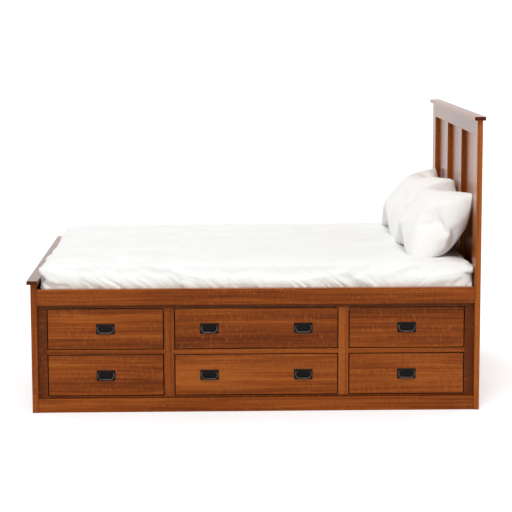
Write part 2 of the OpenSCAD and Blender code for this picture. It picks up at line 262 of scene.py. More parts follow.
def gathers(g, colour, folds, painted_shade_colour):
    """Fine pulled creases where the attribute "tuck" says so, laid out by "tuck_place", with painted
    light over that band and painted shade in the crease valleys.
    """
    weight = g.attribute("tuck").outputs["Fac"]
    place = g.attribute("tuck_place").outputs["Vector"]
    patch = g.stretch(g.noise(g.scaled(place, (3.5, 0.0, 3.0)), detail=1.0), 0.38, 0.6, 0.15, 1.0)
    weight = g.maths("MULTIPLY", weight, patch)
    coarse = g.noise(g.scaled(place, (8.0, 4.0, 3.0)), detail=1.0)
    fine = g.noise(g.scaled(place, (19.0, 8.0, 5.0)), detail=1.0)
    wide = g.stretch(g.maths("ABSOLUTE", g.maths("SUBTRACT", coarse, 0.5)), 0.0, 0.13)
    narrow = g.stretch(g.maths("ABSOLUTE", g.maths("SUBTRACT", fine, 0.5)), 0.0, 0.12)
    height = g.maths("MULTIPLY", g.maths("MULTIPLY_ADD", narrow, 0.4, wide), weight)
    painted_crease_shade = g.maths("MULTIPLY", g.stretch(g.maths("MINIMUM", wide, narrow), 0.0, 0.22, 1.0, 0.0), weight)
    # Painted light: where "tuck" is high, low on the sides by the rails, the cotton is lightened to
    # offset the shade and rail bounce there
    colour = g.mix(g.attribute("tuck").outputs["Fac"], colour, srgb(247, 249, 244))
    # Painted shade: the valleys of the creases are darkened towards painted_shade_colour
    colour = g.mix(g.maths("MULTIPLY", painted_crease_shade, 0.55), colour, painted_shade_colour)
    return colour, g.bump(height, 6 * MM, 0.75, folds)


def cotton(name, base, shade, thread=0.55 * MM, crease=0.9 * MM, gathered=False):
    """Plain woven cotton: crossing threads, slubs, and small creases from folding."""
    g = Graph(name)
    place = g.add("TexCoord").outputs["Object"]
    parts = g.add("SeparateXYZ", {0: place})
    turn = 2 * math.pi / thread
    run = g.maths("ADD", parts.outputs[0], g.maths("MULTIPLY", parts.outputs[2], 0.7))
    over = g.maths("ADD", parts.outputs[1], g.maths("MULTIPLY", parts.outputs[2], 0.7))
    warp = g.maths("SINE", g.maths("MULTIPLY", run, turn))
    weft = g.maths("SINE", g.maths("MULTIPLY", over, turn))
    weave = g.maths("MULTIPLY", warp, weft)
    slub = g.noise(g.scaled(place, (40.0, 600.0, 600.0)), detail=2.0)
    soft = g.noise(place, 7.0, 3.0, 0.55, 0.6)
    crinkle = g.noise(place, 38.0, 4.0, 0.6, 0.8)
    tone = g.maths("MULTIPLY_ADD", slub, 0.3, g.maths("MULTIPLY", soft, 0.7))
    colour = g.ramp(tone, [(0.3, shade), (0.62, base)])
    height = g.maths("MULTIPLY_ADD", crinkle, 0.5, soft)
    folds = g.bump(height, crease, 0.55)
    if gathered:
        # The colour given here is the painted shade of the crease valleys
        colour, folds = gathers(g, colour, folds, srgb(196, 190, 176))
    return g.surface({
        "Base Color": colour,
        "Roughness": 0.9,
        "Sheen Weight": 0.25,
        "Sheen Roughness": 0.5,
        "Specular IOR Level": 0.25,
        "Normal": g.bump(weave, 0.04 * MM, 0.5, folds),
    })


def ticking():
    """Mattress ticking: off-white with narrow woven stripes and a quilted dimple."""
    g = Graph("mattress_ticking")
    place = g.add("TexCoord").outputs["Object"]
    parts = g.add("SeparateXYZ", {0: place})
    stripe = g.maths("SINE", g.maths("MULTIPLY", parts.outputs[1], 2 * math.pi / 0.03))
    slub = g.noise(g.scaled(place, (30.0, 500.0, 500.0)), detail=2.0)
    band = g.stretch(stripe, 0.72, 0.86)
    colour = g.mix(band, srgb(236, 233, 224), srgb(176, 182, 192))
    colour = g.mix(g.stretch(slub, 0.5, 0.9, 0.0, 0.25), colour, srgb(205, 200, 188))
    quilt_x = g.maths("SINE", g.maths("MULTIPLY", parts.outputs[0], 2 * math.pi / 0.16))
    quilt_y = g.maths("SINE", g.maths("MULTIPLY", parts.outputs[1], 2 * math.pi / 0.16))
    return g.surface({
        "Base Color": colour,
        "Roughness": 0.85,
        "Normal": g.bump(g.maths("MULTIPLY", quilt_x, quilt_y), 4 * MM, 0.6),
    })


OAK = wood("stained_oak", srgb(88, 34, 4), srgb(129, 59, 13), srgb(161, 86, 30),
           srgb(169, 97, 42), roughness=0.24, gloss_level=0.23, coat=0.4, fleck_strength=0.28)
CASE_WOOD = wood("case_wood", srgb(120, 70, 36), srgb(160, 104, 60), srgb(190, 138, 88),
                 srgb(200, 150, 100), roughness=0.55, fleck_strength=0.2)
BOX_WOOD = wood("box_wood", srgb(176, 140, 98), srgb(208, 174, 130), srgb(226, 198, 158),
                srgb(232, 206, 168), roughness=0.5, fleck_strength=0.2)
SLAT_WOOD = wood("slat_wood", srgb(186, 148, 100), srgb(216, 182, 134), srgb(232, 206, 164),
                 srgb(236, 210, 170), roughness=0.6, fleck_strength=0.1)
IRON = iron("black_iron", srgb(14, 8, 7), srgb(30, 21, 18), srgb(92, 84, 80))
# Painted highlight: the bails get a much lighter copy of the black iron, standing in for the light their
# rods catch
BAIL_IRON_PAINTED_LIGHT = iron("bail_iron_painted_light", srgb(66, 61, 58), srgb(104, 99, 96), srgb(120, 114, 110))
DARK_STEEL = dark_steel()
COTTON = cotton("white_cotton", srgb(236, 236, 235), srgb(229, 229, 227), gathered=True)
PILLOW_COTTON = cotton("pillow_cotton", srgb(242, 241, 238), srgb(236, 234, 230))
TICKING = ticking()


# ---------------------------------------------------------------- pieces from the CAD solids


def add_piece(name, bm, body, material, smooth=True):
    """Turns a bmesh into an object of the scene that rides on a body."""
    mesh = bpy.data.meshes.new(name)
    bm.to_mesh(mesh)
    bm.free()
    mesh.materials.append(material)
    mesh.polygons.foreach_set("use_smooth", [smooth] * len(mesh.polygons))
    piece = bpy.data.objects.new(name, mesh)
    scene.collection.objects.link(piece)
    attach(piece, body)
    return piece


def even_normals(piece):
    """Keeps large flat faces flat beside their small rounded edges."""
    modifier = piece.modifiers.new("even_normals", "WEIGHTED_NORMAL")
    modifier.keep_sharp = True
    modifier.weight = 100


def node_solids(node):
    """One bmesh for each solid of a CAD node, with its triangles merged into flat faces."""
    whole = bmesh.new()
    whole.from_mesh(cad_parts[node].data)
    bmesh.ops.remove_doubles(whole, verts=whole.verts, dist=0.01 * MM)
    bmesh.ops.dissolve_limit(whole, angle_limit=math.radians(1), verts=whole.verts, edges=whole.edges)
    solids = []
    left = set(whole.verts)
    while left:
        seen = set()
        todo = [left.pop()]
        while todo:
            vert = todo.pop()
            seen.add(vert)
            for edge in vert.link_edges:
                other = edge.other_vert(vert)
                if other in left:
                    left.remove(other)
                    todo.append(other)
        solid = bmesh.new()
        copies = {vert: solid.verts.new(vert.co) for vert in seen}
        for face in {face for vert in seen for face in vert.link_faces}:
            solid.faces.new([copies[vert] for vert in face.verts])
        solid.normal_update()
        solids.append(solid)
    whole.free()
    solids.sort(key=lambda solid: tuple(round(value, 4) for value in corners(solid)[0]))
    return solids


def corners(bm):
    """Lowest and highest corner of a bmesh."""
    places = np.array([vert.co[:] for vert in bm.verts])
    return Vector(places.min(axis=0)), Vector(places.max(axis=0))


def ease_edges(bm, amount, edge_wear_and_painted_shade=1.0):
    """Rounds the sharp edges, and gives the narrow faces that this makes the value of
    edge_wear_and_painted_shade: above 0 for rubbed wear, below 0 for painted shade.
    """
    wear_and_painted_shade = bm.faces.layers.float.new("wear_and_painted_shade")
    sharp = [edge for edge in bm.edges
             if len(edge.link_faces) == 2 and edge.calc_face_angle(0) > math.radians(30)]
    made = bmesh.ops.bevel(bm, geom=sharp, offset=amount, offset_type="OFFSET", segments=2,
                           profile=0.5, affect="EDGES", clamp_overlap=True)
    for face in made["faces"]:
        face[wear_and_painted_shade] = edge_wear_and_painted_shade


# What end grain, which drinks the stain, adds to the tone of a board
END_GRAIN_TONE = -1.3


def mark_grain(bm, luck, along=None, tone=0.0, edge_tone=1.0):
    """Stores each vertex's place along, across and through the board.

    The face value "cut" is tone, plus edge_tone on long edges and END_GRAIN_TONE on end grain.
    """
    low, high = corners(bm)
    size = high - low
    order = sorted(range(3), key=lambda axis: -size[axis])
    if along is not None:
        order.remove(along)
        order.insert(0, along)
    grain = bm.verts.layers.float_vector.new("grain")
    board = bm.verts.layers.float.new("board")
    cut = bm.faces.layers.float.new("cut")
    bm.normal_update()
    for face in bm.faces:
        face[cut] = (edge_tone * abs(face.normal[order[1]])
                     + END_GRAIN_TONE * abs(face.normal[order[0]]) + tone)
    seed = luck.random()
    shift = [luck.uniform(0, 30) for _ in range(3)]
    for vert in bm.verts:
        vert[grain] = Vector([vert.co[axis] - low[axis] + far for axis, far in zip(order, shift)])
        vert[board] = seed


def joined(parts):
    """One bmesh that holds all of these."""
    whole = bmesh.new()
    whole.verts.layers.float_vector.new("grain")
    whole.verts.layers.float.new("board")
    whole.faces.layers.float.new("wear_and_painted_shade")
    whole.faces.layers.float.new("cut")
    scratch = bpy.data.meshes.new("scratch")
    for part in parts:
        part.to_mesh(scratch)
        whole.from_mesh(scratch)
        part.free()
    bpy.data.meshes.remove(scratch)
    return whole


def boards(name, solids, body, material, along=None, ease=EDGE_EASE, tone=0.0, edge_tone=1.0,
           edge_wear_and_painted_shade=1.0):
    """A piece of one or more boards with eased edges, each with its own grain."""
    luck = random.Random(name)
    for solid in solids:
        ease_edges(solid, ease, edge_wear_and_painted_shade)
        mark_grain(solid, luck, along, tone, edge_tone)
    piece = add_piece(name, joined(solids), body, material)
    even_normals(piece)
    return piece


def board_node(node, material, along=None, tone=0.0, edge_tone=1.0):
    piece = boards(node + "_wood", node_solids(node), "bed", material, along, tone=tone,
                   edge_tone=edge_tone)
    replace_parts(piece, node)


AXIS_Z = 2
# Tone of each part, and what its long edges add to it, matched to the photo
FRAME_TONES = {
    "headboard_posts": (1.0, 0.1),
    # The headboard frame's tone is painted light, lightening its face for side light the key sun does not
    # give it
    "headboard_frame": (0.3, 1.0),
    "headboard_cap": (-0.3, 1.0),
    "footboard_posts": (0.0, -0.3),
    "footboard_frame": (0.0, 1.0),
    "footboard_cap": (-0.3, 1.0),
    "side_rails": (0.0, 1.0),
    "plinth_rails": (-0.35, 1.0),
}
# Painted shade: the tone of the face frames' outer rails and end stiles, which sit behind the rails and
# beside the posts
FACE_FRAME_PAINTED_SHADE_TONE = -1.4
FACE_FRAME_INNER_TONE = -0.2
# Painted light: the headboard panels are lightened for side light the key sun does not give their faces
HEADBOARD_PANEL_PAINTED_LIGHT = 0.5


def build_face_frames():
    """Face frames, darker round the outside as painted shade, where the rails and posts beside them shut
    out light.
    """
    low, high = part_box("face_frames")
    painted_shade_solids, inner = [], []
    for solid in node_solids("face_frames"):
        under, over = corners(solid)
        top_or_bottom = under.z > high.z - 0.1 or over.z < low.z + 0.1
        at_foot = under.x < low.x + 0.01 and over.x < low.x + 0.2
        at_head = over.x > high.x - 0.01 and under.x > high.x - 0.2
        group = painted_shade_solids if top_or_bottom or at_foot or at_head else inner
        group.append(solid)
    for name, group, tone in (("face_frames_outer", painted_shade_solids, FACE_FRAME_PAINTED_SHADE_TONE),
                              ("face_frames_inner", inner, FACE_FRAME_INNER_TONE)):
        piece = boards(name, group, "bed", OAK, tone=tone)
        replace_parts(piece, "face_frames")


for node, (tone, edge_tone) in FRAME_TONES.items():
    board_node(node, OAK, tone=tone, edge_tone=edge_tone)
build_face_frames()
board_node("headboard_panels", OAK, along=AXIS_Z, tone=HEADBOARD_PANEL_PAINTED_LIGHT)
board_node("footboard_panels", OAK, along=AXIS_Z)
for node in ("case_sides", "case_spine"):
    board_node(node, CASE_WOOD)
board_node("slat_deck", SLAT_WOOD)


# ---------------------------------------------------------------- drawers


def drawer_names():
    for side in SIDES:
        for row in ROWS:
            for column in COLUMNS:
                yield f"{side}_{row}_{column}"


def steel_piece(name, solids, body):
    """Sheet-metal pieces with the CAD's own edges."""
    for solid in solids:
        mark_grain(solid, random.Random(name))
    return add_piece(name, joined(solids), body, DARK_STEEL, smooth=False)


def build_drawer(name):
    """Stained front, pale box and the moving half of both slides."""
    body = name + "_drawer"
    solids = node_solids(body)
    solids.sort(key=lambda solid: -max(abs(corners(solid)[0].y), abs(corners(solid)[1].y)))
    # A negative value paints shade on the front's eased edges, dark like the gaps round the drawer
    front = boards(name + "_front", solids[:1], body, OAK, ease=FRONT_EASE, edge_wear_and_painted_shade=-1.0)
    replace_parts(front, body)
    box = boards(name + "_box", solids[1:], body, BOX_WOOD, ease=BOX_EASE)
    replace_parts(box, body)
    runners = [solid for solid in node_solids(name + "_hardware")
               if corners(solid)[1].y - corners(solid)[0].y > 0.2]
    steel = steel_piece(name + "_runners", runners, body)
    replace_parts(steel, name + "_hardware")


for name in drawer_names():
    build_drawer(name)
for node in ("drawer_channels", "rail_brackets"):
    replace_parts(steel_piece(node + "_steel", node_solids(node), "bed"), node)


# ---------------------------------------------------------------- pulls


def tube(bm, path, radii, sides=14):
    """Round tube along a path, closed at both ends."""
    rings = []
    for index, place in enumerate(path):
        before = path[max(index - 1, 0)]
        after = path[min(index + 1, len(path) - 1)]
        ahead = (after - before).normalized()
        side = ahead.cross(Vector((0, 1, 0))).normalized()
        over = side.cross(ahead)
        turns = [2 * math.pi * step / sides for step in range(sides)]
        rings.append([bm.verts.new(place + radii[index] * (math.cos(t) * side + math.sin(t) * over))
                      for t in turns])
    for one, two in zip(rings, rings[1:]):
        for step in range(sides):
            after = (step + 1) % sides
            bm.faces.new((one[step], one[after], two[after], two[step]))
    bm.faces.new(list(reversed(rings[0])))
    bm.faces.new(rings[-1])
    bmesh.ops.recalc_face_normals(bm, faces=bm.faces)


def rounded_path(points, radius, steps=6):
    """The same path with its corners turned into curves."""
    path = [points[0]]
    for before, corner, after in zip(points, points[1:], points[2:]):
        reach = min(radius, (before - corner).length / 2, (after - corner).length / 2)
        start = corner + (before - corner).normalized() * reach
        end = corner + (after - corner).normalized() * reach
        for step in range(steps + 1):
            t = step / steps
            path.append(start * (1 - t) ** 2 + corner * 2 * t * (1 - t) + end * t ** 2)
    path.append(points[-1])
    return path


# Bail: rod radius, inner end of its pins, and how far in and up its lower corners slant
ROD_R = 2.5 * MM
PIN_END = 26.5 * MM
SLANT_IN = 10 * MM
SLANT_H = 14 * MM
BEND_R = 5 * MM


def build_bail(node):
    """Bent rod whose two pins turn in the plate's ears, a little thicker along the grip."""
    low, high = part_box(node)
    middle = (low + high) / 2
    half = (high.x - low.x) / 2 - ROD_R
    pivot = high.z - ROD_R
    grip = low.z + ROD_R
    right = [(PIN_END, pivot), (half, pivot), (half, grip + SLANT_H), (half - SLANT_IN, grip)]
    corner_points = right + [(-x, z) for x, z in reversed(right)]
    points = [Vector((middle.x + x, middle.y, z)) for x, z in corner_points]
    path = rounded_path(points, BEND_R)
    radii = []
    for place in path:
        swell = max(0.0, 1 - abs(place.x - middle.x) / (half * 0.8)) if place.z < pivot - 2 * MM else 0
        radii.append(ROD_R * (1 + 0.05 * swell))
    bm = bmesh.new()
    tube(bm, path, radii)
    piece = add_piece(node + "_rod", bm, node, BAIL_IRON_PAINTED_LIGHT)
    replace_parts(piece, node)


def mark_dish(bm):
    """Marks the floor of the dish: a large face that lies a little behind the plate's front."""
    dish = bm.faces.layers.float.new("dish")
    bm.normal_update()
    large = [face for face in bm.faces
             if abs(face.normal.y) > 0.9 and face.calc_area() > 1000 * MM ** 2]
    out = max(abs(face.calc_center_median().y) for face in large)
    for face in large:
        depth = out - abs(face.calc_center_median().y)
        if 1 * MM < depth < 2 * MM:
            face[dish] = 1.0


def build_plates(name):
    """Rectangular iron plates with a dish and two ears, edges broken by hand filing."""
    solids = [solid for solid in node_solids(name + "_hardware")
              if corners(solid)[1].y - corners(solid)[0].y < 0.1]
    for solid in solids:
        ease_edges(solid, PLATE_EASE)
        mark_grain(solid, random.Random(name))
    whole = joined(solids)
    mark_dish(whole)
    piece = add_piece(name + "_plates", whole, name + "_drawer", IRON)
    even_normals(piece)
    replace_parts(piece, name + "_hardware")


for name in drawer_names():
    build_plates(name)
for node in sorted(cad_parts):
    if node.endswith("_bail"):
        build_bail(node)


# ---------------------------------------------------------------- bedding

# Depth of the pillows' undersides below the top of the CAD duvet
PILLOW_SINK = 9 * MM
DUVET_LOW, DUVET_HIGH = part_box("duvet")
BED_HEAD_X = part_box("headboard_posts")[0].x
RAIL_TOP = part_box("side_rails")[1].z


def relief(place, scale, seed):
    """Smooth noise of about -1 to 1 at a wavelength of about scale."""
    return noise.noise(place / scale + Vector((seed, seed * 1.7, seed * 0.3)))


def run_cloth(piece, frames, colliders=(), **settings):
    """Runs Blender's cloth on a piece, keeps the result as its mesh and removes the modifier."""
    scene.frame_start = 1
    scene.frame_end = frames
    pads = []
    for collider in colliders:
        pads.append(collider.modifiers.new("pad", "COLLISION"))
        collider.collision.thickness_outer = 0.004
        collider.collision.cloth_friction = 8
    modifier = piece.modifiers.new("cloth", "CLOTH")
    cloth = modifier.settings
    cloth.quality = 6
    for key, value in settings.items():
        owner = cloth
        if key == "gravity":
            owner, key = cloth.effector_weights, "gravity"
        setattr(owner, key, value)
    modifier.collision_settings.use_collision = bool(colliders)
    modifier.collision_settings.distance_min = 0.004
    modifier.point_cache.frame_start = 1
    modifier.point_cache.frame_end = frames
    for frame_number in range(1, frames + 1):
        scene.frame_set(frame_number)
    shape = piece.evaluated_get(bpy.context.evaluated_depsgraph_get())
    places = np.empty(3 * len(shape.data.vertices))
    shape.data.vertices.foreach_get("co", places)
    piece.modifiers.remove(modifier)
    for collider, pad in zip(colliders, pads):
        collider.modifiers.remove(pad)
    piece.data.vertices.foreach_set("co", places)
    piece.data.update()
    scene.frame_set(1)


def finish_soft(piece):
    modifier = piece.modifiers.new("smooth_cloth", "SUBSURF")
    modifier.levels = 1
    modifier.render_levels = 1


def soft_above(value, floor, blend):
    """value, eased so that it never falls below floor."""
    t = (value - floor) / blend
    return floor + blend * (math.log1p(math.exp(t)) if t < 30 else t)


# Pillows: a sewn envelope, laid flat, blown up and then leaned on the headboard

PILLOW_LEAN = math.radians(50)
PILLOW_SIZE = Vector((0.735, 0.520, 0.165))
# Centre of a pillow: distance from the headboard's posts and height over the CAD duvet's top
PILLOW_OUT = 125 * MM
PILLOW_UP = 112 * MM
# The back starts flatter than the front, and is flattened again once blown up
PILLOW_BACK = 0.86
BACK_FLAT = 0.62


def pillow_envelope(seed):
    """Two sheets sewn together round the edge over a full filling, with pointed corners.

    Also gives the place of each vertex in its sheet, from -1 to 1 both ways.
    """
    bm = bmesh.new()
    across, up = 66, 46
    # The very tips are left off, so that the two sheets never lie flat on each other
    tips = {(0, 0), (0, up), (across, 0), (across, up)}
    top, bottom, sheet = {}, {}, []
    for i in range(across + 1):
        for j in range(up + 1):
            if (i, j) in tips:
                continue
            u, v = 2 * i / across - 1, 2 * j / up - 1
            pull = 1 - 0.03 * (1 - u ** 2) * v ** 4
            waist = 1 - 0.012 * (1 - v ** 2) * u ** 4
            x = u * PILLOW_SIZE.x / 2 * waist
            y = v * PILLOW_SIZE.y / 2 * pull
            full = (1 - abs(u) ** 7) ** 0.6 * (1 - abs(v) ** 2.6) ** 0.8
            rise = PILLOW_SIZE.z / 2 * full
            rise += 0.004 * relief(Vector((x, y, rise)), 0.09, seed) * full
            top[i, j] = bm.verts.new((x, y, rise))
            sheet.append((u, v))
            if max(abs(u), abs(v)) > 0.9999:
                bottom[i, j] = top[i, j]
            else:
                bottom[i, j] = bm.verts.new((x, y, -rise * PILLOW_BACK))
                sheet.append((u, v))
    for i in range(across):
        for j in range(up):
            ring = [(i, j), (i + 1, j), (i + 1, j + 1), (i, j + 1)]
            ring = [key for key in ring if key not in tips]
            bm.faces.new([top[k] for k in ring])
            bm.faces.new([bottom[k] for k in reversed(ring)])
    return bm, sheet


def pucker(piece, sheet, seed):
    """Small gathers square to the seam, and a few slack creases that fan out of the corners."""
    normals = [vert.normal.copy() for vert in piece.data.vertices]
    for vert, (u, v), normal in zip(piece.data.vertices, sheet, normals):
        to_end, to_edge = 1 - abs(u), 1 - abs(v)
        along = v * PILLOW_SIZE.y if to_end < to_edge else u * PILLOW_SIZE.x
        near = min(to_end * PILLOW_SIZE.x, to_edge * PILLOW_SIZE.y) / 2
        side = 1 if vert.co.z > 0 else -1
        gather = relief(Vector((along, side * 0.3, 0)), 0.021, seed)
        fade = math.exp(-near / 0.022) * (1 - math.exp(-near / 0.004))
        fan = math.atan2(to_edge + 0.02, to_end * 1.4 + 0.02)
        reach = math.hypot(to_end * 1.4, to_edge)
        crease = relief(Vector((fan * 0.35, side * 0.2, (u > 0) + 2 * (v > 0))), 0.05, seed)
        spread = math.exp(-((reach - 0.28) / 0.2) ** 2)
        slack = relief(vert.co, 0.11, seed + 4)
        vert.co += normal * MM * (3.2 * gather * fade * 2 + 2.6 * crease * spread + 2.2 * slack)


def build_pillow(node, seed):
    """Blows up an envelope, leans it on the headboard and presses its foot on the duvet."""
    low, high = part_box(node)
    bm, sheet = pillow_envelope(seed)
    piece = add_piece(node + "_filled", bm, "bed", PILLOW_COTTON)
    run_cloth(piece, 22, gravity=0.0, use_pressure=True, uniform_pressure_force=3.0,
              mass=0.25, tension_stiffness=22, compression_stiffness=22, shear_stiffness=6,
              bending_stiffness=0.4, air_damping=2.0, shrink_min=-0.03)
    pucker(piece, sheet, seed)
    middle = (low + high) / 2
    lean = Vector((math.cos(PILLOW_LEAN), 0, math.sin(PILLOW_LEAN)))
    off = Vector((-math.sin(PILLOW_LEAN), 0, math.cos(PILLOW_LEAN)))
    centre = Vector((BED_HEAD_X - PILLOW_OUT, middle.y, DUVET_HIGH.z + PILLOW_UP))
    for vert in piece.data.vertices:
        flat = vert.co
        rise = flat.z if flat.z > 0 else flat.z * BACK_FLAT
        place = centre + Vector((0, flat.x, 0)) + lean * flat.y + off * rise
        raised = soft_above(place.z, DUVET_HIGH.z - PILLOW_SINK, 0.010)
        place.x += 0.15 * max(0.0, raised - place.z)
        place.z = raised
        place.x = -soft_above(-place.x, -(BED_HEAD_X - 2 * MM), 0.008)
        vert.co = place
    finish_soft(piece)
    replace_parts(piece, node)


build_pillow("left_pillow", 3.0)
build_pillow("right_pillow", 11.0)


# Mattress: rounded slab with tufting and a piped edge

def rounded_slab(low, high, radius, step):
    """Closed rounded box whose faces are grids of about the given step."""
    bm = bmesh.new()
    bmesh.ops.create_cube(bm, size=1.0)
    size = high - low
    for axis in range(3):
        cuts = max(2, int(size[axis] / step))
        for cut in range(1, cuts):
            place = Vector((0, 0, 0))
            place[axis] = cut / cuts - 0.5
            normal = Vector((0, 0, 0))
            normal[axis] = 1
            bmesh.ops.bisect_plane(bm, geom=bm.verts[:] + bm.edges[:] + bm.faces[:],
                                   plane_co=place, plane_no=normal)
    middle = (low + high) / 2
    for vert in bm.verts:
        place = Vector([middle[axis] + vert.co[axis] * size[axis] for axis in range(3)])
        core = Vector([min(max(place[axis], low[axis] + radius), high[axis] - radius)
                       for axis in range(3)])
        away = place - core
        if away.length > radius:
            place = core + away.normalized() * radius
        vert.co = place
    return bm


MATTRESS_BEND = 0.04
PIPING_R = 3.5 * MM
PIPING_INSET = 2.5 * MM
TUFT_DEPTH = 3 * MM


def piping_loop(low, high, z):
    """Points of a rounded rectangle around the mattress at height z."""
    reach = PIPING_INSET + MATTRESS_BEND
    loop = []
    for corner in range(4):
        x = high.x - reach if corner in (0, 3) else low.x + reach
        y = high.y - reach if corner in (0, 1) else reach - high.y
        for step in range(7):
            turn = math.pi / 2 * (corner + step / 6)
            loop.append(Vector((x, y, z)) + MATTRESS_BEND * Vector((math.cos(turn), math.sin(turn), 0)))
    return loop


def closed_cord(bm, loop, radius, sides=8):
    """Round cord that follows a closed, level loop."""
    turns = [2 * math.pi * step / sides for step in range(sides)]
    rings = []
    for index, place in enumerate(loop):
        # The first ring only looks ahead
        before = loop[index - 1] if index else loop[0]
        ahead = (loop[(index + 1) % len(loop)] - before).normalized()
        side = ahead.cross(UP).normalized()
        rings.append([bm.verts.new(place + radius * (math.cos(t) * side + math.sin(t) * UP))
                      for t in turns])
    for one, two in zip(rings, rings[1:] + rings[:1]):
        for step in range(sides):
            after = (step + 1) % sides
            bm.faces.new((one[step], one[after], two[after], two[step]))


def build_mattress():
    """Tufted slab, with a piped seam above and below its border."""
    low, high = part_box("mattress")
    bm = rounded_slab(low + Vector((2, 2, 0)) * MM, high - Vector((2, 2, 4)) * MM, MATTRESS_BEND, 0.045)
    for vert in bm.verts:
        if vert.co.z > high.z - 5 * MM:
            vert.co.z -= TUFT_DEPTH * abs(math.sin(vert.co.x * 20) * math.sin(vert.co.y * 20))
    piece = add_piece("mattress_filled", bm, "bed", TICKING)
    finish_soft(piece)
    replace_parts(piece, "mattress")
    cord = bmesh.new()
    for z in (low.z + 34 * MM, high.z - 38 * MM):
        closed_cord(cord, piping_loop(low, high, z), PIPING_R)
    bmesh.ops.recalc_face_normals(cord, faces=cord.faces)
    add_piece("mattress_piping", cord, "bed", TICKING)


build_mattress()


# Duvet: spread over the mattress, tucked in behind the rails, looser than what it covers

DUVET_STEP = 0.017
DUVET_HEM = RAIL_TOP - 0.03
# Height that the middle of the duvet keeps
DUVET_TOP = DUVET_HIGH.z + 4 * MM
DUVET_BEND = 0.027
DUVET_LINING = 10 * MM
# How far the sides come out towards the rails, and how deep the pillows press in
SIDE_OUT = 13 * MM
PILLOW_DENT = 12 * MM
PILLOW_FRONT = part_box("left_pillow")[0].x - 0.02
PILLOW_END = max(abs(corner.y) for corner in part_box("left_pillow"))
# Place along an edge where the slant of the gathers turns round, and the slant on either side
GATHER_TURN = 0.72
GATHER_SLANT_FOOT = 1.25
GATHER_SLANT_HEAD = -0.9


def duvet_shell():
    """Rounded box without a bottom, whose sides end in a hem behind the rails."""
    low = Vector((DUVET_LOW.x + 2 * MM, DUVET_LOW.y + 1 * MM, DUVET_HEM))
    high = Vector((DUVET_HIGH.x - 2 * MM, DUVET_HIGH.y - 1 * MM, DUVET_HIGH.z - 6 * MM))
    bm = rounded_slab(low - Vector((0, 0, DUVET_BEND)), high, DUVET_BEND, DUVET_STEP)
    below = [vert for vert in bm.verts if vert.co.z < low.z - 1 * MM]
    bmesh.ops.delete(bm, geom=below, context="VERTS")
    return bm


def lift_duvet(piece):
    """Brings the top to its height and keeps the sides off the rails, headboard and footboard."""
    tops = [vert.co.z for vert in piece.data.vertices
            if abs(vert.co.y) < 0.6 and abs(vert.co.x) < 0.6 and vert.co.z > RAIL_TOP]
    grow = (DUVET_TOP - DUVET_HEM) / (float(np.median(tops)) - DUVET_HEM)
    for vert in piece.data.vertices:
        vert.co.z = DUVET_HEM + (vert.co.z - DUVET_HEM) * grow
        vert.co.z = -soft_above(-vert.co.z, -(DUVET_HIGH.z + 14 * MM), 0.003)
        side = 1 if vert.co.y > 0 else -1
        vert.co.x += 12 * MM * min(1.0, max(0.0, (vert.co.x - 0.95) / 0.05))
        limit = DUVET_HIGH.y + 3 * MM * min(1.0, max(0.0, (vert.co.z - RAIL_TOP) / 0.02))
        vert.co.y = side * -soft_above(-abs(vert.co.y), -limit, 0.0015)
        vert.co.x = -soft_above(-vert.co.x, -(BED_HEAD_X - 3 * MM), 0.002)
        vert.co.x = soft_above(vert.co.x, DUVET_LOW.x - 3 * MM, 0.002)


def refine(piece):
    """Makes one smooth subdivision part of the mesh."""
    modifier = piece.modifiers.new("refine", "SUBSURF")
    modifier.levels = 1
    shape = piece.evaluated_get(bpy.context.evaluated_depsgraph_get())
    finer = bpy.data.meshes.new_from_object(shape)
    piece.modifiers.remove(modifier)
    finer.name = piece.data.name
    piece.data = finer


def ridge(place, scale, seed):
    """Noise from 0 to 1 with narrow creases where it comes to 0."""
    return min(1.0, 2.2 * abs(relief(place, scale, seed)))


